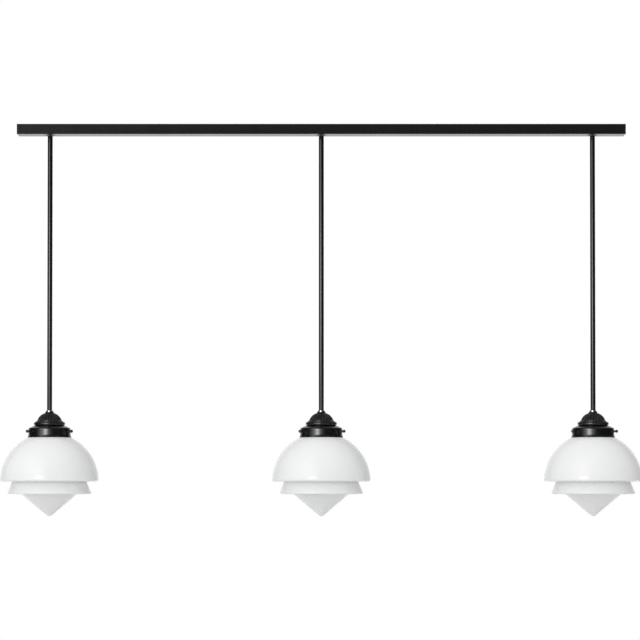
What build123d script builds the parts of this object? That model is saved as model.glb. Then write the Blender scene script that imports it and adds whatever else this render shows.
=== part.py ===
"""Linear island pendant: three opal glass lamps on rods under one long ceiling bar.

Millimetres, +Z up. The origin is the centre of the face that lies against the ceiling, X runs
along the bar and -Y is the front. Each lamp is modelled at x = 0 and copied to its station.
"""

from build123d import *
import math
import os

# ---- ceiling bar: a folded channel, open towards the ceiling ----
bar_length = 1200.0
bar_depth = 60.0
bar_height = 20.0
bar_sheet = 1.5
bar_edge_radius = 1.0

# ---- mounting strap inside the bar ----
strap_width = 30.0
strap_sheet = 2.0
strap_end_gap = 1.0
strap_tab_height = 15.0
ceiling_slot_inset = 150.0
ceiling_slot_length = 14.0
ceiling_slot_width = 5.5
cable_hole_radius = 9.0
cable_hole_x = 170.0

# ---- countersunk screws through the bar's ends into the strap's tabs ----
end_screw_diameter = 3.0
end_screw_length = 8.0
end_screw_head_diameter = 5.6
end_screw_drop = 10.0
screw_socket_width = 2.0
screw_socket_depth = 1.0

# ---- terminal block and earth stud, both inside the bar ----
terminal_x = 110.0
terminal_length = 34.0
terminal_width = 18.0
terminal_height = 11.0
terminal_poles = 3
terminal_wire_hole_diameter = 4.0
terminal_hole_height = 3.7
terminal_screw_diameter = 3.4
terminal_screw_height = 6.0
terminal_slot_width = 0.7
terminal_peg_radius = 1.6
terminal_peg_inset = 2.6
earth_stud_x = 70.0
earth_stud_diameter = 4.0
earth_stud_height = 9.0
earth_nut_width = 7.0
earth_nut_height = 3.2

# ---- lamps and their rods ----
lamp_names = ["left", "middle", "right"]
lamp_end_inset = 64.0
rod_length = 600.0
rod_diameter = 10.0
rod_wall = 1.0

# ---- ball swivel in the floor of the bar ----
ball_radius = 17.0
pivot_drop = 6.4
ball_flat = 4.6
rod_above_nut = 1.0
liner_wall = 0.6
liner_height = 6.6
swivel_clearance = 0.06

# ---- hexagon nuts and the pale round nut ----
nut_width = 14.0
nut_height = 3.0
pale_nut_diameter = 13.6
pale_nut_height = 2.4
pale_nut_edge = 0.5

# ---- fluted cap ----
cap_height = 19.8
cap_wall = 2.0
cap_collar_radius = 8.4
cap_collar_height = 2.0
cap_shoulder_radius = 9.6
cap_shoulder_drop = 3.0
cap_dome_radius = 24.2
cap_dome_crown = 2.4
cap_lip_radius = 26.3
cap_lip_height = 1.5
cap_lip_slope = 1.1
flute_count = 20
flute_depth = 1.0
flute_half_angle = 54.0

# ---- smooth ring under the cap ----
ring_radius = 31.0
ring_height = 7.9
ring_sheet = 1.2

# ---- gallery that holds the glass ----
gallery_sheet = 1.0
gallery_plate_radius = 31.0
gallery_shoulder_drop = 5.0
gallery_band_radius = 41.65
gallery_crown_radius = 3.0
gallery_height = 22.4
gallery_flare_height = 4.0
gallery_rim_radius = 43.3

# ---- thumb screws ----
screws_per_gallery = 3
first_screw_angle = 93.0
screw_drop = 11.2
screw_diameter = 4.0
screw_boss_radius = 3.2
screw_boss_height = 1.5
screw_end_chamfer = 0.4
knob_radius = 52.7
knob_length = 4.6
knob_diameter = 6.0
knob_end_chamfer = 1.3
knob_neck_chamfer = 0.8

# ---- opal glass shade ----
glass_wall = 3.0
neck_radius = 38.2
lip_thickness = 1.2
lip_height = 3.0
lip_chamfer = 0.4
shoulder_gap = 1.0
neck_round = 3.0
dome_radius = 97.4
dome_cut = 0.5
dome_rim_round = 4.4
collar_top_radius = 73.5
collar_rim_radius = 84.0
collar_rim_round = 3.0
collar_height = 24.7
cone_radius = 55.0
cone_height = 46.0
cone_tip_radius = 8.0

# ---- lampholder ----
holder_entry = 8.7
holder_radius = 19.75
holder_neck_radius = 8.0
holder_neck_height = 6.0
holder_cap_height = 18.0
holder_wall = 2.2
sleeve_height = 38.0
sleeve_lap = 4.0
contact_disc_height = 6.0
contact_spring_radius = 2.5
contact_spring_height = 2.0

# ---- bulb ----
bulb_cap_radius = 13.1
bulb_cap_height = 24.0
bulb_cap_wall = 0.6
bulb_contact_radius = 4.5
bulb_contact_height = 3.0
bulb_insulator_radius = 11.1
bulb_glass_radius = 30.0
bulb_glass_wall = 1.0
bulb_glass_height = 81.0
bulb_neck_radius = 12.0
bulb_neck_height = 6.0
bulb_neck_lap = 6.0
bulb_neck_angle = 35.0

# ---- clearances ----
fit_gap = 0.1
running_gap = 0.05
free_gap = 0.3

# ---- heights and places that follow from the sizes above ----
bar_floor_z = -bar_height
lamp_spacing = (bar_length - 2 * lamp_end_inset) / (len(lamp_names) - 1)
ceiling_slot_place = bar_length / 2 - ceiling_slot_inset
pivot_z = -pivot_drop
ball_top_z = pivot_z - ball_flat
lock_nut_z = ball_top_z + running_gap
rod_top_z = lock_nut_z + nut_height + rod_above_nut
rod_bottom_z = rod_top_z - rod_length
holder_top_z = rod_bottom_z + holder_entry
gallery_top_z = holder_top_z + nut_height + gallery_sheet
ring_top_z = gallery_top_z + ring_height
cap_top_z = ring_top_z + cap_height
screw_z = gallery_top_z - screw_drop
gallery_rim_z = gallery_top_z - gallery_height
rod_radius = rod_diameter / 2
rod_hole_radius = rod_radius + fit_gap
screw_tip_radius = neck_radius + lip_thickness + free_gap
lip_z = screw_z + screw_diameter / 2 + free_gap
lip_top_z = lip_z + lip_height
dome_top_z = gallery_rim_z - shoulder_gap
dome_z = dome_top_z - math.sqrt(dome_radius ** 2 - gallery_rim_radius ** 2)
shoulder_z = dome_z + math.sqrt(dome_radius ** 2 - neck_radius ** 2)
dome_edge = math.sqrt(dome_radius ** 2 - dome_cut ** 2)
tier_z = dome_z + dome_cut
rim_z = tier_z - collar_height
holder_floor_z = holder_top_z - holder_cap_height
bulb_top_z = holder_floor_z - contact_disc_height - contact_spring_height - running_gap
bulb_shell_z = bulb_top_z - bulb_cap_height


def turned(*edges):
    """Turns a closed outline, drawn as (radius, height), about the vertical axis."""
    return revolve(Plane.XZ * make_face(edges), Axis.Z, 360)


def outline(*points):
    """The straight edges through points, closed at the end."""
    return outline_open(*points, points[0])


def outline_open(*points):
    """The straight edges through points, left open."""
    return [Line(a, b) for a, b in zip(points, points[1:])]


def disc(radius, bottom, top, bore=0.0):
    """A round disc or tube between two heights."""
    body = Pos(0, 0, (bottom + top) / 2) * Cylinder(radius, top - bottom)
    if bore > 0:
        body -= Pos(0, 0, (bottom + top) / 2) * Cylinder(bore, top - bottom)
    return body


def hexagon(width, bottom, height, bore):
    """A hexagon nut, width across its flats."""
    blank = extrude(RegularPolygon(width / 2, 6, major_radius=False), height)
    return Pos(0, 0, bottom) * blank - disc(bore, bottom, bottom + height)


def block(x0, x1, y0, y1, z0, z1):
    """A box between two corners."""
    centre = Pos((x0 + x1) / 2, (y0 + y1) / 2, (z0 + z1) / 2)
    return centre * Box(x1 - x0, y1 - y0, z1 - z0)


def nearest(face, point):
    """The corner of a face that is nearest to a point."""
    return face.vertices().sort_by_distance(point)[0]


def rounded(face, *rounds):
    """Rounds the corners of a face, each given as ((x, y), radius)."""
    for point, radius in rounds:
        face = fillet([nearest(face, point)], radius)
    return face


def lamp_x(index):
    """Where a lamp hangs along the bar."""
    return (index - (len(lamp_names) - 1) / 2) * lamp_spacing


lamp_stations = [lamp_x(i) for i in range(len(lamp_names))]


# ---- pieces of the bar ----
def ceiling_bar():
    """Folded channel with closed ends, a spherical seat under each lamp and screw holes in its ends."""
    outer = block(-bar_length / 2, bar_length / 2, -bar_depth / 2, bar_depth / 2, bar_floor_z, 0)
    outer = fillet(outer.edges().group_by(Axis.Z)[0], bar_edge_radius)
    half_x = bar_length / 2 - bar_sheet
    half_y = bar_depth / 2 - bar_sheet
    outer -= block(-half_x, half_x, -half_y, half_y, bar_floor_z + bar_sheet, 1)
    seat_radius = ball_radius + liner_wall + 2 * swivel_clearance
    for x in lamp_stations:
        outer -= Pos(x, 0, pivot_z) * Sphere(seat_radius)
    for side in (-1, 1):
        outer -= end_screw(side, fit_gap)
    outer -= Pos(earth_stud_x, 0, 0) * disc(earth_stud_diameter / 2 + fit_gap, bar_floor_z, 0)
    for y in terminal_peg_places():
        outer -= Pos(terminal_x, y, 0) * disc(terminal_peg_radius + fit_gap, bar_floor_z, 0)
    return outer


def mounting_strap():
    """Flat strap against the ceiling, with a tab turned down at each end inside the bar."""
    half = bar_length / 2 - bar_sheet - strap_end_gap
    half_width = strap_width / 2
    strap = block(-half, half, -half_width, half_width, -strap_sheet, 0)
    for side in (-1, 1):
        inner, outer = sorted((side * half, side * (half - strap_sheet)))
        strap += block(inner, outer, -half_width, half_width, -strap_tab_height, 0)
        strap -= end_screw(side, running_gap)
    slot = SlotOverall(ceiling_slot_length, ceiling_slot_width)
    for x in (-ceiling_slot_place, ceiling_slot_place):
        strap -= Pos(x, 0, -strap_sheet) * extrude(slot, strap_sheet)
    strap -= Pos(cable_hole_x, 0, 0) * disc(cable_hole_radius, -strap_sheet, 0)
    return strap


def end_screw(side, gap=0.0):
    """Countersunk screw through one end of the bar, grown by gap when it is used as a cutter."""
    shank = end_screw_diameter / 2 + gap
    head = end_screw_head_diameter / 2 + gap
    cone = head - shank
    tip = end_screw_length + gap
    screw = turned(*outline((0, 0), (head, 0), (shank, -cone), (shank, -tip), (0, -tip)))
    if gap == 0:
        socket = RegularPolygon(screw_socket_width / 2, 6, major_radius=False)
        screw -= Pos(0, 0, -screw_socket_depth) * extrude(socket, screw_socket_depth)
    turn = Rot(0, 90 * side, 0)
    return Pos(side * bar_length / 2, 0, -end_screw_drop) * turn * screw


def terminal_peg_places():
    """The two pegs that hold the terminal block to the floor of the bar, as places along Y."""
    reach = terminal_width / 2 - terminal_peg_inset
    return (-reach, reach)


def terminal_pole_places():
    """The poles of the terminal block, as places along X."""
    pitch = terminal_length / terminal_poles
    middle = (terminal_poles - 1) / 2
    return [terminal_x + (i - middle) * pitch for i in range(terminal_poles)]


def terminal_block():
    """Insulated block with a wire hole through each pole and a well above it for its screw."""
    floor = bar_floor_z + bar_sheet
    half_x, half_y = terminal_length / 2, terminal_width / 2
    body = block(terminal_x - half_x, terminal_x + half_x, -half_y, half_y, floor, floor + terminal_height)
    hole_z = floor + terminal_hole_height
    for x in terminal_pole_places():
        bore = Rot(90, 0, 0) * Cylinder(terminal_wire_hole_diameter / 2, terminal_width)
        body -= Pos(x, 0, hole_z) * bore
        for screw in terminal_pair(x, fit_gap):
            body -= screw
    for y in terminal_peg_places():
        body += Pos(terminal_x, y, 0) * disc(terminal_peg_radius, bar_floor_z, floor)
    return body


def terminal_pair(x, gap=0.0):
    """The two clamping screws of one pole, grown by gap when they are used as cutters."""
    top = bar_floor_z + bar_sheet + terminal_height
    radius = terminal_screw_diameter / 2 + gap
    bottom = top - terminal_screw_height - gap
    places = (-terminal_width / 4, terminal_width / 4)
    pair = [Pos(x, y, 0) * disc(radius, bottom, top) for y in places]
    if gap == 0:
        slot = Box(2 * terminal_screw_diameter, terminal_slot_width, 2 * screw_socket_depth)
        pair = [screw - Pos(x, y, top) * slot for screw, y in zip(pair, places)]
    return pair


def terminal_screws():
    """All clamping screws of the terminal block."""
    return Compound([s for x in terminal_pole_places() for s in terminal_pair(x)])


def earth_stud():
    """Stud through the floor of the bar, with its nut run down on the floor."""
    floor = bar_floor_z + bar_sheet
    stud = disc(earth_stud_diameter / 2, bar_floor_z, floor + earth_stud_height)
    nut = hexagon(earth_nut_width, floor, earth_nut_height, earth_stud_diameter / 2 - running_gap)
    return Pos(earth_stud_x, 0, 0) * (stud + nut)


# ---- pieces of one lamp, at x = 0 ----
def swivel_liner():
    """Thin spherical cup between the ball and its seat in the bar, cut off flush with the underside."""
    inner = ball_radius + swivel_clearance
    shell = Sphere(inner + liner_wall) - Sphere(inner)
    height = pivot_z - bar_floor_z
    band = disc(2 * ball_radius, -height, liner_height - height)
    return Pos(0, 0, pivot_z) * (shell & band)


def swivel_ball():
    """Ball with a flat top, bored for the rod."""
    ball = Pos(0, 0, pivot_z) * Sphere(ball_radius)
    ball -= disc(2 * ball_radius, ball_top_z, pivot_z + 2 * ball_radius)
    return ball - disc(rod_radius + running_gap, pivot_z - 2 * ball_radius, ball_top_z)


def rod():
    """Round tube from the ball down into the lampholder."""
    return disc(rod_radius, rod_bottom_z, rod_top_z, rod_radius - rod_wall)


def hex_nuts():
    """The nut on top of the ball and the one that clamps the gallery plate."""
    upper = hexagon(nut_width, lock_nut_z, nut_height, rod_radius + running_gap)
    lower = hexagon(nut_width, holder_top_z, nut_height, rod_radius + running_gap)
    return Compound([upper, lower])


def pale_nut():
    """Round nut that shows as a pale ring on top of the cap."""
    top = cap_top_z + pale_nut_height
    radius = pale_nut_diameter / 2
    bore = rod_radius + running_gap
    return turned(*outline(
        (bore, cap_top_z), (radius, cap_top_z), (radius, top - pale_nut_edge),
        (radius - pale_nut_edge, top), (bore, top)))


def cap_dome_edge():
    """The arc of the cap's dome, from its foot up to the shoulder, as (radius, height above the ring)."""
    foot = (cap_dome_radius, cap_lip_height + cap_lip_slope)
    shoulder = (cap_shoulder_radius, cap_height - cap_shoulder_drop)
    return SagittaArc(foot, shoulder, -cap_dome_crown)


def cap_flute(arc):
    """Cutter for one flute: a V swept about the centre of the dome's arc, from lip to shoulder."""
    centre, foot, shoulder = arc.arc_center, arc @ 0, arc @ 1
    start = math.degrees(math.atan2(foot.Y - centre.Y, foot.X - centre.X))
    stop = math.degrees(math.atan2(shoulder.Y - centre.Y, shoulder.X - centre.X))
    root = arc.radius - flute_depth
    reach = 2 * flute_depth
    half = reach * math.tan(math.radians(flute_half_angle))
    wedge = make_face(outline((root, 0), (root + reach, half), (root + reach, -half)))
    hinge = Axis((0, 0, 0), (0, -1, 0))
    return Pos(centre.X, 0, centre.Y) * Rot(0, -start, 0) * revolve(wedge, hinge, stop - start)


def fluted_cap():
    """Domed cap: lip, dome with flutes all round, and a plain collar on top; hollow from below."""
    arc = cap_dome_edge()
    foot, shoulder = arc @ 0, arc @ 1
    neck = cap_height - cap_collar_height
    blank = turned(
        *outline_open((0, 0), (cap_lip_radius, 0), (cap_lip_radius, cap_lip_height), (foot.X, foot.Y)),
        arc,
        *outline_open((shoulder.X, shoulder.Y), (cap_collar_radius, neck),
                      (cap_collar_radius, cap_height), (0, cap_height), (0, 0)))
    flute = cap_flute(arc)
    blank -= [flute.rotate(Axis.Z, i * 360 / flute_count) for i in range(flute_count)]
    hollow_top = cap_height - cap_shoulder_drop - cap_wall
    blank -= turned(*outline(
        (0, 0), (cap_dome_radius - cap_wall, 0), (cap_dome_radius - cap_wall, foot.Y),
        (cap_dome_radius - 2 * cap_wall, (foot.Y + hollow_top) / 2),
        (cap_shoulder_radius, hollow_top), (0, hollow_top)))
    blank -= disc(rod_hole_radius, 0, cap_height)
    return Pos(0, 0, ring_top_z) * blank


def cap_ring():
    """Smooth round-edged ring, pressed from sheet and open underneath."""
    edge = ring_height / 2
    flat = ring_radius - edge
    inner = edge - ring_sheet
    section = make_face([
        *outline_open((rod_hole_radius, ring_height - ring_sheet), (rod_hole_radius, ring_height),
                      (flat, ring_height)),
        ThreePointArc((flat, ring_height), (ring_radius, edge), (flat, 0)),
        *outline_open((flat, 0), (flat, ring_sheet), (flat + inner, edge), (flat, ring_height - ring_sheet),
                      (rod_hole_radius, ring_height - ring_sheet)),
    ])
    return Pos(0, 0, gallery_top_z) * revolve(Plane.XZ * section, Axis.Z, 360)


def gallery():
    """Spun holder: flat plate, sloped shoulder, band and flared rim, with bosses for the thumb screws."""
    crown_z = -gallery_shoulder_drop
    flare_z = gallery_flare_height - gallery_height
    wall = FilletPolyline(
        (rod_hole_radius, 0), (gallery_plate_radius, 0), (gallery_band_radius, crown_z),
        (gallery_band_radius, flare_z), (gallery_rim_radius, -gallery_height),
        radius=gallery_crown_radius)
    section = make_face(offset(wall, gallery_sheet, side=Side.RIGHT))
    body = revolve(Plane.XZ * section, Axis.Z, 360)
    for angle in screw_angles():
        inner = gallery_band_radius - gallery_sheet / 2
        body += along_screw(angle, screw_boss_radius, inner, gallery_band_radius + screw_boss_height)
    for angle in screw_angles():
        bore = screw_diameter / 2 + running_gap
        body -= along_screw(angle, bore, gallery_plate_radius, knob_radius)
    return Pos(0, 0, gallery_top_z) * body


def screw_angles():
    """The directions of a gallery's thumb screws, the first one to the back."""
    return [first_screw_angle + i * 360 / screws_per_gallery for i in range(screws_per_gallery)]


def along_screw(angle, radius, start, stop):
    """A cylinder on a thumb screw's axis between two distances from the lamp's axis."""
    rod_piece = Pos((start + stop) / 2, 0, -screw_drop) * Rot(0, 90, 0) * Cylinder(radius, stop - start)
    return rod_piece.rotate(Axis.Z, angle)


def thumb_screw(angle):
    """Screw with a rounded knob; its tip ends just outside the lip of the glass."""
    shank, knob = screw_diameter / 2, knob_diameter / 2
    neck = knob_radius - knob_length
    section = make_face(outline(
        (0, screw_tip_radius), (shank - screw_end_chamfer, screw_tip_radius),
        (shank, screw_tip_radius + screw_end_chamfer), (shank, neck), (knob - knob_neck_chamfer, neck),
        (knob, neck + knob_neck_chamfer), (knob, knob_radius - knob_end_chamfer),
        (knob - knob_end_chamfer, knob_radius), (0, knob_radius)))
    screw = revolve(Plane.XZ * section, Axis.Z, 360)
    screw = Pos(0, 0, screw_z) * Rot(0, 90, 0) * screw
    return screw.rotate(Axis.Z, angle)


def shade_outline():
    """Outer form of the glass with sharp edges, from the neck down to the tip, reaching past the axis."""
    slope = math.atan2(cone_radius, cone_height)
    tip_centre_z = rim_z - cone_height + cone_tip_radius / math.sin(slope)
    tip_side = (cone_tip_radius * math.cos(slope), tip_centre_z - cone_tip_radius * math.sin(slope))
    tip_z = tip_centre_z - cone_tip_radius
    past = -2 * glass_wall
    return make_face([
        *outline_open((past, lip_top_z), (neck_radius, lip_top_z), (neck_radius, shoulder_z),
                      (gallery_rim_radius, dome_top_z)),
        RadiusArc((gallery_rim_radius, dome_top_z), (dome_edge, tier_z), dome_radius),
        *outline_open((dome_edge, tier_z), (collar_top_radius, tier_z), (collar_rim_radius, rim_z),
                      (cone_radius, rim_z), tip_side),
        RadiusArc(tip_side, (0, tip_z), cone_tip_radius),
        *outline_open((0, tip_z), (past, tip_z), (past, lip_top_z)),
    ])


def glass_shade():
    """One-piece blown glass: lipped neck, dome, flared collar and pointed cone, hollow throughout."""
    sharp = shade_outline()
    inner = offset(sharp, -glass_wall, kind=Kind.INTERSECTION)
    outer = rounded(
        sharp,
        ((neck_radius, shoulder_z), neck_round),
        ((dome_edge, tier_z), dome_rim_round),
        ((collar_rim_radius, rim_z), collar_rim_round))
    right = Pos(2 * dome_radius, dome_z) * Rectangle(4 * dome_radius, 8 * dome_radius)
    bore = neck_radius - glass_wall
    lip = neck_radius + lip_thickness
    body = revolve(Plane.XZ * (outer & right), Axis.Z, 360)
    body += turned(*outline(
        (bore, lip_z), (lip - lip_chamfer, lip_z), (lip, lip_z + lip_chamfer),
        (lip, lip_top_z - lip_chamfer), (lip - lip_chamfer, lip_top_z), (bore, lip_top_z)))
    body -= revolve(Plane.XZ * (inner & right), Axis.Z, 360)
    return body - disc(bore, shoulder_z, lip_top_z)


def holder_cap():
    """Upper half of the lampholder, screwed on the end of the rod."""
    neck_z = holder_top_z - holder_neck_height
    body = turned(*outline(
        (0, holder_top_z), (holder_neck_radius, holder_top_z), (holder_neck_radius, neck_z),
        (holder_radius, neck_z - holder_neck_height / 2), (holder_radius, holder_floor_z),
        (0, holder_floor_z)))
    cavity_top = rod_bottom_z - free_gap
    body -= disc(holder_radius - holder_wall, holder_floor_z, cavity_top - holder_wall)
    body -= disc(rod_radius - rod_wall, holder_floor_z, holder_top_z)
    return body - disc(rod_radius + running_gap, rod_bottom_z, holder_top_z)


def holder_sleeve():
    """Lower half of the lampholder, a sleeve round the bulb's cap with a collar to grip."""
    bottom = holder_floor_z - sleeve_height
    bore = bulb_cap_radius + free_gap
    lap = holder_radius - holder_wall - fit_gap
    body = disc(holder_radius, bottom, holder_floor_z)
    body += disc(lap, holder_floor_z, holder_floor_z + sleeve_lap)
    body -= disc(bore, bottom, holder_floor_z + sleeve_lap)
    return chamfer(body.edges().group_by(Axis.Z)[0], holder_wall / 2)


def holder_contacts():
    """Insulating disc in the top of the sleeve, with the centre contact standing down from it."""
    disc_bottom = holder_floor_z - contact_disc_height
    plate = disc(bulb_cap_radius + free_gap - fit_gap, disc_bottom, holder_floor_z)
    spring = disc(contact_spring_radius, disc_bottom - contact_spring_height, disc_bottom)
    return plate + spring


def bulb_cap():
    """Screw cap of the bulb, with its centre contact."""
    shell_top = bulb_top_z - bulb_contact_height
    shell = disc(bulb_cap_radius, bulb_shell_z, shell_top)
    shell -= disc(bulb_cap_radius - bulb_cap_wall, bulb_shell_z, shell_top - bulb_contact_height)
    contact = turned(*outline((0, shell_top), (bulb_insulator_radius, shell_top),
                              (bulb_contact_radius, bulb_top_z), (0, bulb_top_z)))
    return shell + contact


def bulb_glass():
    """Envelope of the bulb: a ball that runs up into a neck inside the screw cap."""
    return bulb_envelope(0) - bulb_envelope(bulb_glass_wall)


def bulb_envelope(shrink):
    """The bulb's form, made smaller all round by shrink; its ball is centred on the axis."""
    centre_z = bulb_shell_z - bulb_glass_height + bulb_glass_radius
    ball = bulb_glass_radius - shrink
    neck = bulb_neck_radius - shrink
    stem_z = bulb_shell_z + bulb_neck_lap - shrink
    slope = math.radians(bulb_neck_angle)
    joint = (ball * math.cos(slope), centre_z + ball * math.sin(slope))
    return turned(
        *outline_open((0, centre_z - ball), (0, stem_z), (neck, stem_z),
                      (neck, bulb_shell_z - bulb_neck_height), joint),
        ThreePointArc(joint, (ball, centre_z), (0, centre_z - ball)))


def lamp_pieces():
    """Every piece of one lamp at x = 0, by its name."""
    pieces = {
        "swivel_liner": swivel_liner(),
        "swivel_ball": swivel_ball(),
        "rod": rod(),
        "hex_nuts": hex_nuts(),
        "pale_nut": pale_nut(),
        "fluted_cap": fluted_cap(),
        "cap_ring": cap_ring(),
        "gallery": gallery(),
        "glass_shade": glass_shade(),
        "lampholder_cap": holder_cap(),
        "lampholder_sleeve": holder_sleeve(),
        "lampholder_contacts": holder_contacts(),
        "bulb_cap": bulb_cap(),
        "bulb_glass": bulb_glass(),
    }
    for number, angle in enumerate(screw_angles(), start=1):
        pieces[f"thumb_screw_{number}"] = thumb_screw(angle)
    return pieces


def write(node, solid):
    """Writes one node to its file."""
    export_step(solid, f"parts/{node}.step")


def main():
    """Writes every node of the pendant."""
    os.makedirs("parts", exist_ok=True)
    write("ceiling_bar", ceiling_bar())
    write("mounting_strap", mounting_strap())
    write("bar_fixing_screws", Compound([end_screw(-1), end_screw(1)]))
    write("terminal_block", terminal_block())
    write("terminal_screws", terminal_screws())
    write("earth_stud", earth_stud())
    lamp = lamp_pieces()
    for name, x in zip(lamp_names, lamp_stations):
        for piece, solid in lamp.items():
            write(f"{name}_{piece}", Pos(x, 0, 0) * solid)


main()
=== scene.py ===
import math

import bpy
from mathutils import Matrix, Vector

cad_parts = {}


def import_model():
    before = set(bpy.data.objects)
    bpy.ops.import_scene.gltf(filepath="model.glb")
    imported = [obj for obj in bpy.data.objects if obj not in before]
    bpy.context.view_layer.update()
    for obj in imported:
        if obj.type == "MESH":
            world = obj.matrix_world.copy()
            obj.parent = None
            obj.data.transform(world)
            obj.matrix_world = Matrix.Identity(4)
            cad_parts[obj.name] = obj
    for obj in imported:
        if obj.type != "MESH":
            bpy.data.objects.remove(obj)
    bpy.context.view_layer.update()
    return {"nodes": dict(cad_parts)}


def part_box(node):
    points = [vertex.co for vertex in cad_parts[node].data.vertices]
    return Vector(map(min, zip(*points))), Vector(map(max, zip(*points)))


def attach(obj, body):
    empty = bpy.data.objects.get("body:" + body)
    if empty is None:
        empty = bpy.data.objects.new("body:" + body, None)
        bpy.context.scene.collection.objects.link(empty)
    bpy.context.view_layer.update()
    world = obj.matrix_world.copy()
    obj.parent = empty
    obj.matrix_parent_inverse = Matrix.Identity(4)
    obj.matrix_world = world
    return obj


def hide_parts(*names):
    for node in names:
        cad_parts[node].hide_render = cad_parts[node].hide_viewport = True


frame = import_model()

MM = 0.001
LAMPS = ("left", "middle", "right")


# ---- node helpers ----
def fill(node, values):
    """Sets unlinked inputs of a node, whose names have _ for a space."""
    for key, value in values.items():
        node.inputs[key.replace("_", " ")].default_value = value


def add(tree, kind, settings=None, **inputs):
    """A new node, with its settings and its unlinked inputs."""
    node = tree.nodes.new(kind)
    for key, value in (settings or {}).items():
        setattr(node, key, value)
    fill(node, inputs)
    return node


def link(tree, output, target):
    tree.links.new(output, target)


def combine(tree, operation, first, second):
    """A maths operation on two outputs."""
    node = add(tree, "ShaderNodeMath", {"operation": operation})
    link(tree, first, node.inputs[0])
    link(tree, second, node.inputs[1])
    return node.outputs[0]


def mapped(tree, value, start, stop, low, high, ease="LINEAR"):
    """Maps a value between start and stop onto low to high."""
    node = add(tree, "ShaderNodeMapRange", {"interpolation_type": ease},
               From_Min=start, From_Max=stop, To_Min=low, To_Max=high)
    link(tree, value, node.inputs["Value"])
    return node.outputs["Result"]


def noise(tree, scale, detail, rough, stretch=(1, 1, 1)):
    """Noise laid on the piece in its own metres; stretch lengthens the grain along an axis."""
    place = add(tree, "ShaderNodeTexCoord")
    grain = add(tree, "ShaderNodeMapping", Scale=tuple(1 / s for s in stretch))
    texture = add(tree, "ShaderNodeTexNoise", Scale=scale, Detail=detail, Roughness=rough)
    link(tree, place.outputs["Object"], grain.inputs["Vector"])
    link(tree, grain.outputs["Vector"], texture.inputs["Vector"])
    return texture.outputs["Fac"]


def ramp(tree, value, stops):
    """A colour ramp from (place, colour) stops."""
    node = tree.nodes.new("ShaderNodeValToRGB")
    elements = node.color_ramp.elements
    for element, (place, colour) in zip(elements, (stops[0], stops[-1])):
        element.position = place
        element.color = (*colour, 1)
    for place, colour in stops[1:-1]:
        elements.new(place).color = (*colour, 1)
    link(tree, value, node.inputs["Fac"])
    return node.outputs["Color"]


def bump(tree, bsdf, value, strength, depth):
    """Relief of a real depth in metres."""
    node = add(tree, "ShaderNodeBump", Strength=strength, Distance=depth)
    link(tree, value, node.inputs["Height"])
    link(tree, node.outputs["Normal"], bsdf.inputs["Normal"])


# ---- finishes ----
IOR = 1.5
NOISE_MIDDLE = (0.3, 0.7)      # most of a noise's values lie between these
TONE_NOISE = (5.0, 0.6)        # (detail, roughness) of each noise
PATCH_NOISE = (4.0, 0.6)
RELIEF_NOISE = (2.0, 0.5)
NEUTRAL = (1.0, 1.0, 1.0)
COOL = (0.98, 1.0, 1.04)


def finish_of(name, colours, roughness, tone_scale, rough_scale, relief,
              metallic=0.0, specular=0.5, stretch=(1, 1, 1), **sockets):
    """A surface whose colour, gloss and relief all vary over it.

    colours is a list of ramp stops, roughness a range, and relief (scale, strength, depth).
    """
    mat = bpy.data.materials.new(name)
    mat.use_nodes = True
    tree = mat.node_tree
    bsdf = tree.nodes["Principled BSDF"]
    fill(bsdf, {"Metallic": metallic, "IOR": IOR, "Specular_IOR_Level": specular, **sockets})
    tone = noise(tree, tone_scale, *TONE_NOISE, stretch)
    link(tree, ramp(tree, tone, colours), bsdf.inputs["Base Color"])
    patches = noise(tree, rough_scale, *PATCH_NOISE, stretch)
    link(tree, mapped(tree, patches, *NOISE_MIDDLE, *roughness), bsdf.inputs["Roughness"])
    scale, strength, depth = relief
    bump(tree, bsdf, noise(tree, scale, *RELIEF_NOISE, stretch), strength, depth)
    return mat


def greys(*stops, tint=NEUTRAL):
    """Ramp stops from (place, value) pairs."""
    return [(place, tuple(value * part for part in tint)) for place, value in stops]


satin_black = finish_of(
    "satin_black_coat", greys((0.30, 0.0048), (0.52, 0.0058), (0.72, 0.007), tint=COOL),
    roughness=(0.22, 0.26), tone_scale=40.0, rough_scale=30.0, relief=(700.0, 0.02, 0.00002),
    specular=0.22)
gloss_black = finish_of(
    "gloss_black_coat", greys((0.32, 0.0028), (0.55, 0.004), (0.72, 0.0055), tint=COOL),
    roughness=(0.2, 0.25), tone_scale=60.0, rough_scale=30.0, relief=(300.0, 0.01, 0.00002),
    specular=0.9)
spun_black = finish_of(
    "spun_black_coat", greys((0.30, 0.0018), (0.55, 0.0026), (0.74, 0.0038), tint=COOL),
    roughness=(0.2, 0.26), tone_scale=110.0, rough_scale=60.0, relief=(420.0, 0.04, 0.00003),
    specular=1.0)
cast_black = finish_of(
    "cast_black_coat", greys((0.30, 0.0028), (0.55, 0.0042), (0.74, 0.0065), tint=COOL),
    roughness=(0.24, 0.32), tone_scale=260.0, rough_scale=120.0, relief=(600.0, 0.06, 0.00004),
    specular=0.9)
opal = finish_of(
    "opal_glass",
    [(0.28, (0.895, 0.905, 0.905)), (0.5, (0.915, 0.922, 0.918)), (0.74, (0.93, 0.932, 0.924))],
    roughness=(0.09, 0.15), tone_scale=16.0, rough_scale=28.0, relief=(34.0, 0.10, 0.0006),
    specular=0.35,
    Subsurface_Weight=0.16, Subsurface_Radius=(1.0, 0.98, 0.94), Subsurface_Scale=0.006)
nickel = finish_of(
    "nickel_plate", [(0.3, (0.60, 0.585, 0.55)), (0.7, (0.78, 0.765, 0.73))],
    roughness=(0.16, 0.3), tone_scale=300.0, rough_scale=220.0, relief=(1800.0, 0.1, 0.00004),
    metallic=1.0)
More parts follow.
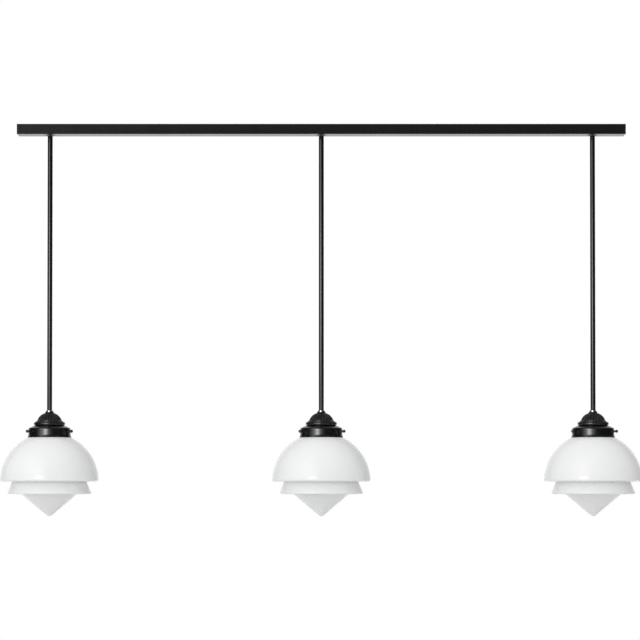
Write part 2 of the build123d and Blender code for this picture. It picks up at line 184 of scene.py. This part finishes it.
zinc = finish_of(
    "zinc_plate",
    [(0.28, (0.42, 0.43, 0.44)), (0.5, (0.52, 0.53, 0.53)), (0.72, (0.62, 0.62, 0.60))],
    roughness=(0.28, 0.46), tone_scale=70.0, rough_scale=35.0, relief=(500.0, 0.12, 0.00006),
    metallic=1.0, stretch=(6, 1, 1))
brass = finish_of(
    "turned_brass",
    [(0.3, (0.50, 0.35, 0.13)), (0.55, (0.62, 0.45, 0.19)), (0.75, (0.70, 0.53, 0.26))],
    roughness=(0.22, 0.4), tone_scale=240.0, rough_scale=180.0, relief=(1400.0, 0.12, 0.00004),
    metallic=1.0)
bulb_metal = finish_of(
    "rolled_shell",
    [(0.3, (0.58, 0.56, 0.52)), (0.6, (0.72, 0.71, 0.67)), (0.8, (0.80, 0.79, 0.76))],
    roughness=(0.18, 0.34), tone_scale=160.0, rough_scale=120.0, relief=(700.0, 0.1, 0.00005),
    metallic=1.0)
bulb_white = finish_of(
    "frosted_bulb",
    [(0.3, (0.80, 0.80, 0.775)), (0.6, (0.86, 0.86, 0.84)), (0.8, (0.89, 0.89, 0.88))],
    roughness=(0.26, 0.4), tone_scale=60.0, rough_scale=90.0, relief=(2200.0, 0.14, 0.00003),
    Subsurface_Weight=0.2, Subsurface_Radius=(1.0, 0.97, 0.9), Subsurface_Scale=0.004)
black_plastic = finish_of(
    "moulded_black", greys((0.3, 0.014), (0.55, 0.02), (0.75, 0.028)),
    roughness=(0.38, 0.52), tone_scale=220.0, rough_scale=140.0, relief=(1100.0, 0.2, 0.00007),
    specular=0.45)
white_plastic = finish_of(
    "moulded_white",
    [(0.3, (0.70, 0.70, 0.67)), (0.55, (0.76, 0.76, 0.735)), (0.75, (0.80, 0.80, 0.785))],
    roughness=(0.36, 0.5), tone_scale=180.0, rough_scale=120.0, relief=(1000.0, 0.16, 0.00006))
nylon = finish_of(
    "matt_nylon", greys((0.3, 0.016), (0.6, 0.023), (0.8, 0.03)),
    roughness=(0.5, 0.62), tone_scale=260.0, rough_scale=200.0, relief=(1600.0, 0.18, 0.00005),
    specular=0.4)

PIECE_FINISH = {
    "ceiling_bar": satin_black, "mounting_strap": zinc, "bar_fixing_screws": gloss_black,
    "terminal_block": white_plastic, "terminal_screws": brass, "earth_stud": brass,
    "swivel_liner": nylon, "swivel_ball": gloss_black, "rod": gloss_black, "hex_nuts": zinc,
    "pale_nut": nickel, "fluted_cap": cast_black, "cap_ring": gloss_black, "gallery": spun_black,
    "glass_shade": opal, "lampholder_cap": black_plastic, "lampholder_sleeve": black_plastic,
    "lampholder_contacts": white_plastic, "bulb_cap": bulb_metal, "bulb_glass": bulb_white,
    "thumb_screw_1": gloss_black, "thumb_screw_2": gloss_black, "thumb_screw_3": gloss_black,
}


def piece_of(node):
    """A node's name without its lamp."""
    lamp, _, piece = node.partition("_")
    return piece if lamp in LAMPS else node


for node, obj in frame["nodes"].items():
    obj.data.materials.clear()
    obj.data.materials.append(PIECE_FINISH[piece_of(node)])


# ---- mesh helpers ----
PLAIN_EDGE, FORMED_EDGE = 35.0, 50.0      # degrees past which an edge stays sharp


def new_object(name, data):
    obj = bpy.data.objects.new(name, data)
    bpy.context.scene.collection.objects.link(obj)
    return obj


def mesh_object(name, points, faces, finish, sharp=PLAIN_EDGE):
    """A smooth-shaded mesh with one finish."""
    mesh = bpy.data.meshes.new(name)
    mesh.from_pydata(points, [], faces)
    mesh.validate()
    mesh.update()
    mesh.shade_smooth()
    mesh.set_sharp_from_angle(angle=math.radians(sharp))
    mesh.materials.append(finish)
    return new_object(name, mesh)


def grid_faces(rows, columns):
    """Quads of a surface closed round its columns and round its rows."""
    faces = []
    for i in range(rows):
        here, following = i * columns, (i + 1) % rows * columns
        for j in range(columns):
            k = (j + 1) % columns
            faces.append((here + j, following + j, following + k, here + k))
    return faces


def turned(name, finish, section, foot, columns, shape=None, sharp=PLAIN_EDGE):
    """A closed section of (radius, height) turned about the vertical axis through foot.

    shape(radius, height, index, angle) gives a point's radius where the piece isn't round.
    """
    points = []
    for i, (r, z) in enumerate(section):
        for j in range(columns):
            angle = 2 * math.pi * j / columns
            reach = (shape(r, z, i, angle) if shape else r) * MM
            points.append((foot[0] + reach * math.cos(angle), foot[1] + reach * math.sin(angle),
                           foot[2] + z * MM))
    return mesh_object(name, points, grid_faces(len(section), columns), finish, sharp)


def rounded(corners, steps):
    """The points of a section from its corners (radius, height, round), each round as an arc."""
    points = []
    count = len(corners)
    for i, (x, z, r) in enumerate(corners):
        if not r:
            points.append((x, z))
            continue
        here = Vector((x, z))
        before = (Vector(corners[i - 1][:2]) - here).normalized()
        after = (Vector(corners[(i + 1) % count][:2]) - here).normalized()
        half = before.angle(after) / 2
        reach = r / math.tan(half)
        centre = here + (before + after).normalized() * (r / math.sin(half))
        start = here + before * reach - centre
        stop = here + after * reach - centre
        turn = start.angle_signed(stop)
        for k in range(steps + 1):
            a = -turn * k / steps
            points.append((centre.x + start.x * math.cos(a) - start.y * math.sin(a),
                           centre.y + start.x * math.sin(a) + start.y * math.cos(a)))
    return points


def smooth(value, low, high):
    """A smooth step from 0 at low to 1 at high."""
    t = min(1.0, max(0.0, (value - low) / (high - low)))
    return t * t * (3 - 2 * t)


def axis_x(lamp):
    """Where the lamp's axis stands along the bar."""
    low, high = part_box(f"{lamp}_rod")
    return (low.x + high.x) / 2


def dress(piece, node, body):
    """The piece stands for a node: the node is hidden and the piece moves with its body."""
    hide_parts(node)
    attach(piece, body)


# ---- fluted cap: rounded ribs between lip and collar ----
CAP_LIP, CAP_FOOT, CAP_SHOULDER, CAP_COLLAR, CAP_BORE = 26.3, 24.2, 9.6, 8.4, 5.1  # radii
CAP_LIP_Z, CAP_FOOT_Z, CAP_SHOULDER_Z, CAP_NECK_Z, CAP_TOP_Z = 1.5, 2.6, 16.8, 17.8, 19.8
LIP_EDGE, LIP_ROUND, COLLAR_ROUND = 0.35, 0.55, 0.5
CAP_ROUND_STEPS = 5
CAP_CROWN = 2.4                # rise of the dome's arc over its chord
DOME_STEPS = 34
FLUTES, FLUTE_COLUMNS = 20, 14
RIB_DEPTH = 2.3
RIB_FULLNESS = 0.9             # under 1 the ribs are fuller than half a sine wave
RIB_RISE_TO, RIB_FALL_FROM = 0.09, 0.88      # shares of the arc, from its foot
FOOT_DEPTH = 0.75              # share of the depth that the flutes have at the foot
FULL_DEPTH_AT = 0.5            # share of the arc where they are at full depth


def dome_points(steps):
    """The dome's arc, from its foot up to the shoulder."""
    foot, top = Vector((CAP_FOOT, CAP_FOOT_Z)), Vector((CAP_SHOULDER, CAP_SHOULDER_Z))
    chord = top - foot
    length = chord.length
    radius = length * length / (8 * CAP_CROWN) + CAP_CROWN / 2
    outward = Vector((chord.y, -chord.x)).normalized()
    centre = (foot + top) / 2 - outward * (radius - CAP_CROWN)
    start = math.atan2(foot.y - centre.y, foot.x - centre.x)
    stop = math.atan2(top.y - centre.y, top.x - centre.x)
    angles = [start + (stop - start) * k / steps for k in range(steps + 1)]
    return [(centre.x + radius * math.cos(a), centre.y + radius * math.sin(a)) for a in angles]


def fluted_cap(lamp):
    low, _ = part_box(f"{lamp}_fluted_cap")
    lip = rounded([(CAP_BORE, 0, 0), (CAP_LIP, 0, LIP_EDGE), (CAP_LIP, CAP_LIP_Z, LIP_ROUND),
                   (CAP_FOOT, CAP_FOOT_Z, 0)], CAP_ROUND_STEPS)
    dome = dome_points(DOME_STEPS)
    collar = rounded([(CAP_SHOULDER, CAP_SHOULDER_Z, 0), (CAP_COLLAR, CAP_NECK_Z, COLLAR_ROUND),
                      (CAP_COLLAR, CAP_TOP_Z, COLLAR_ROUND), (CAP_BORE, CAP_TOP_Z, 0)],
                     CAP_ROUND_STEPS)
    section = lip[:-1] + dome + collar[1:]
    first = len(lip) - 1
    last = first + DOME_STEPS

    def ribbed(r, z, i, angle):
        if not first < i < last:
            return r
        share = (i - first) / (last - first)
        lobe = abs(math.sin(angle * FLUTES / 2)) ** RIB_FULLNESS
        ends = smooth(share, 0.0, RIB_RISE_TO) * (1 - smooth(share, RIB_FALL_FROM, 1.0))
        growth = FOOT_DEPTH + (1 - FOOT_DEPTH) * smooth(share, 0.0, FULL_DEPTH_AT)
        return r - RIB_DEPTH * ends * growth * (1 - lobe)

    cap = turned(f"{lamp}_fluted_cap_ribs", cast_black, section, (axis_x(lamp), 0, low.z),
                 FLUTES * FLUTE_COLUMNS, ribbed, FORMED_EDGE)
    dress(cap, f"{lamp}_fluted_cap", f"{lamp}_pendant")


# ---- rod: smooth tube ----
ROD_R, ROD_BORE, ROD_EDGE = 5.0, 4.0, 0.3
ROD_EDGE_STEPS, ROD_COLUMNS = 3, 64


def rod(lamp):
    low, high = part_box(f"{lamp}_rod")
    length = (high.z - low.z) / MM
    section = rounded([(ROD_BORE, 0, 0), (ROD_R, 0, ROD_EDGE), (ROD_R, length, ROD_EDGE),
                       (ROD_BORE, length, 0)], ROD_EDGE_STEPS)
    tube = turned(f"{lamp}_rod_tube", gloss_black, section, (axis_x(lamp), 0, low.z), ROD_COLUMNS)
    dress(tube, f"{lamp}_rod", f"{lamp}_pendant")


# ---- bulb cap: rolled thread on a thin shell, closed by the insulator and its contact ----
SHELL_R, SHELL_ROWS, SHELL_COLUMNS = 12.85, 90, 96
THREAD_PITCH, THREAD_DEPTH = 3.62, 0.9
THREAD_START, THREAD_FULL, THREAD_RUN_OUT = 2.0, 4.2, 1.6
INSULATOR_R, INSULATOR_FOOT, INSULATOR_RISE = 11.1, 0.1, 3.0
CONTACT_FOOT_R, CONTACT_R, CONTACT_RISE = 4.5, 4.2, 0.5
HOLLOW_R, HOLLOW_TOP_R, HOLLOW_BEVEL, HOLLOW_DEPTH = 11.6, 11.2, 0.6, 3.0
AXIS_R = 0.01                  # a section's end on the axis


def bulb_cap(lamp):
    low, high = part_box(f"{lamp}_bulb_cap")
    height = (high.z - low.z) / MM
    shell = height - INSULATOR_RISE
    hollow = shell - HOLLOW_DEPTH
    outer = [(SHELL_R, shell * k / SHELL_ROWS) for k in range(SHELL_ROWS)]
    outer.append((SHELL_R - THREAD_DEPTH, shell))
    top = [(INSULATOR_R, shell + INSULATOR_FOOT), (CONTACT_FOOT_R, height - CONTACT_RISE),
           (CONTACT_R, height), (AXIS_R, height)]
    inside = [(AXIS_R, hollow), (HOLLOW_TOP_R, hollow), (HOLLOW_R, hollow - HOLLOW_BEVEL),
              (HOLLOW_R, 0.0)]

    def threaded(r, z, i, angle):
        if i > SHELL_ROWS:
            return r
        run_out = smooth(z, shell - THREAD_RUN_OUT, shell)
        ends = smooth(z, THREAD_START, THREAD_FULL) * (1 - run_out)
        wave = 0.5 - 0.5 * math.cos(2 * math.pi * (z / THREAD_PITCH - angle / (2 * math.pi)))
        return r - THREAD_DEPTH * run_out - ends * THREAD_DEPTH * wave

    cap = turned(f"{lamp}_bulb_cap_threaded", bulb_metal, outer + top + inside,
                 (axis_x(lamp), 0, low.z), SHELL_COLUMNS, threaded, FORMED_EDGE)
    dress(cap, f"{lamp}_bulb_cap", f"{lamp}_bulb")


for lamp in LAMPS:
    fluted_cap(lamp)
    rod(lamp)
    bulb_cap(lamp)


# ---- floor ----
FLOOR_Z, FLOOR_HALF = -1.3, 2.4
FLOOR_GRAIN, FLOOR_NOISE = 3.0, (3.0, 0.55)
FLOOR_TONES = [(0.3, (0.80, 0.80, 0.80)), (0.7, (0.815, 0.815, 0.812))]
FLOOR_ROUGHNESS, FLOOR_SHINE = 0.6, 0.42


def mix_shaders(tree, share, first, second):
    """The first shader where share is 0, and the second where it is 1."""
    node = add(tree, "ShaderNodeMixShader")
    link(tree, share, node.inputs["Fac"])
    link(tree, first, node.inputs[1])
    link(tree, second, node.inputs[2])
    return node.outputs[0]


def floor_material():
    """Near-white floor that keeps shadows, shines only where it is seen and is open from below."""
    mat = bpy.data.materials.new("pale_floor")
    mat.use_nodes = True
    tree = mat.node_tree
    tree.nodes.remove(tree.nodes["Principled BSDF"])
    matt = add(tree, "ShaderNodeBsdfDiffuse", Roughness=FLOOR_ROUGHNESS)
    tone = ramp(tree, noise(tree, FLOOR_GRAIN, *FLOOR_NOISE), FLOOR_TONES)
    link(tree, tone, matt.inputs["Color"])
    shine = add(tree, "ShaderNodeEmission", Color=(1, 1, 1, 1), Strength=FLOOR_SHINE)
    shining = add(tree, "ShaderNodeAddShader")
    link(tree, matt.outputs[0], shining.inputs[0])
    link(tree, shine.outputs[0], shining.inputs[1])
    ray = add(tree, "ShaderNodeLightPath").outputs
    seen = combine(tree, "MAXIMUM", ray["Is Camera Ray"], ray["Is Glossy Ray"])
    seen = combine(tree, "MAXIMUM", seen, ray["Is Transmission Ray"])
    above = mix_shaders(tree, seen, matt.outputs[0], shining.outputs[0])
    clear = add(tree, "ShaderNodeBsdfTransparent")
    side = add(tree, "ShaderNodeNewGeometry")
    surface = mix_shaders(tree, side.outputs["Backfacing"], above, clear.outputs[0])
    link(tree, surface, tree.nodes["Material Output"].inputs["Surface"])
    return mat


def floor():
    corners = [(-1, -1), (1, -1), (1, 1), (-1, 1)]
    points = [(x * FLOOR_HALF, y * FLOOR_HALF, FLOOR_Z) for x, y in corners]
    obj = mesh_object("floor", points, [(0, 1, 2, 3)], floor_material())


# ---- world: each edge is a smooth step (axis, start, stop, low, high) over directions ----
BEHIND = ("Y", 0.6, 1.0, 0.022, 1.0)
ABOVE = ("Z", 0.45, 1.0, 0.0, 0.28)
IN_FRONT = ("Y", -0.5, -0.2, 1.0, 0.0)
TALL_PANEL = [("X", -1.0, -0.5, 0.0, 1.0), ("X", -0.3, -0.08, 1.0, 0.0), IN_FRONT,
              ("Z", -0.3, -0.1, 0.0, 1.0), ("Z", 0.5, 0.85, 1.0, 0.0)]
LOW_PANEL = [("X", -0.6, -0.2, 0.0, 1.0), ("X", -0.25, 0.36, 1.0, 0.0), IN_FRONT,
             ("Z", -0.35, -0.2, 0.0, 1.0), ("Z", 0.03, 0.06, 1.0, 0.0)]
TALL_STRENGTH, LOW_STRENGTH = 1.8, 1.4
AMBIENT_FROM = (-0.43, -0.82, 0.37)
AMBIENT_DARK, AMBIENT_BRIGHT = 0.16, 1.13


def edge(tree, axes, axis, start, stop, low, high):
    """A smooth step along one axis."""
    return mapped(tree, axes[axis], start, stop, low, high, "SMOOTHSTEP")


def with_panel(tree, axes, base, strength, edges):
    """Adds to base a soft-edged panel of light, the product of its edges."""
    panel = edge(tree, axes, *edges[0])
    for each in edges[1:]:
        panel = combine(tree, "MULTIPLY", panel, edge(tree, axes, *each))
    total = add(tree, "ShaderNodeMath", {"operation": "MULTIPLY_ADD"})
    link(tree, panel, total.inputs[0])
    total.inputs[1].default_value = strength
    link(tree, base, total.inputs[2])
    return total.outputs[0]


def mirrored_light(tree, directions):
    """What coats and glass mirror: white behind, dark in front but for two panels at the left."""
    split = add(tree, "ShaderNodeSeparateXYZ")
    link(tree, directions, split.inputs["Vector"])
    axes = split.outputs
    base = combine(tree, "ADD", edge(tree, axes, *BEHIND), edge(tree, axes, *ABOVE))
    with_tall = with_panel(tree, axes, base, TALL_STRENGTH, TALL_PANEL)
    return with_panel(tree, axes, with_tall, LOW_STRENGTH, LOW_PANEL)


def ambient_light(tree, directions):
    """What lights matt surfaces: brightest from the upper left in front."""
    towards = add(tree, "ShaderNodeVectorMath", {"operation": "DOT_PRODUCT"})
    link(tree, directions, towards.inputs[0])
    towards.inputs[1].default_value = AMBIENT_FROM
    return mapped(tree, towards.outputs["Value"], -1.0, 1.0, AMBIENT_DARK, AMBIENT_BRIGHT)


def world():
    """White to the camera, and different lights to mirroring and to matt surfaces."""
    studio = bpy.data.worlds.new("studio")
    bpy.context.scene.world = studio
    studio.use_nodes = True
    tree = studio.node_tree
    background = tree.nodes["Background"]
    background.inputs["Strength"].default_value = 1.0
    directions = add(tree, "ShaderNodeTexCoord").outputs["Generated"]
    ray = add(tree, "ShaderNodeLightPath").outputs
    light = add(tree, "ShaderNodeMix", {"data_type": "FLOAT"})
    link(tree, ray["Is Glossy Ray"], light.inputs["Factor"])
    link(tree, ambient_light(tree, directions), light.inputs["A"])
    link(tree, mirrored_light(tree, directions), light.inputs["B"])
    seen = combine(tree, "MAXIMUM", ray["Is Camera Ray"], ray["Is Transmission Ray"])
    shown = add(tree, "ShaderNodeMix", {"data_type": "FLOAT"}, B=1.0)
    link(tree, seen, shown.inputs["Factor"])
    link(tree, light.outputs["Result"], shown.inputs["A"])
    link(tree, shown.outputs["Result"], background.inputs["Color"])


# ---- key light ----
KEY_AT, KEY_AIM = (-3.0, -7.4, 0.0), (0.0, 0.0, -0.45)
KEY_WIDTH, KEY_HEIGHT = 2.6, 2.4
KEY_WATTS, KEY_COLOUR = 90.0, (0.97, 0.985, 1.0)


def key_light():
    light = bpy.data.lights.new("key", "AREA")
    light.shape = "RECTANGLE"
    light.size, light.size_y = KEY_WIDTH, KEY_HEIGHT
    light.energy = KEY_WATTS
    light.color = KEY_COLOUR
    obj = new_object("key", light)
    obj.location = KEY_AT
    obj.rotation_euler = (Vector(KEY_AIM) - Vector(KEY_AT)).to_track_quat("-Z", "Y").to_euler()


# ---- camera: far away and level with the lamps, pitched up to the photograph's framing ----
PHOTO_PX, FOCAL_PX, SENSOR_MM = 640, 4172.0, 36.0
CAMERA_AT = (-0.0026, -8.23, -0.70)
AIM_Z = -0.3856                # height at which it looks over the lamps' axes
VIEW_END = 60.0


def photo_camera():
    data = bpy.data.cameras.new("camera")
    data.sensor_width = SENSOR_MM
    data.lens = FOCAL_PX / PHOTO_PX * SENSOR_MM
    data.clip_end = VIEW_END
    obj = new_object("camera", data)
    obj.location = CAMERA_AT
    _, y, z = CAMERA_AT
    obj.rotation_euler = (math.radians(90) + math.atan2(AIM_Z - z, -y), 0, 0)
    bpy.context.scene.camera = obj


floor()
world()
key_light()
photo_camera()
bpy.context.scene.view_settings.view_transform = "Standard"
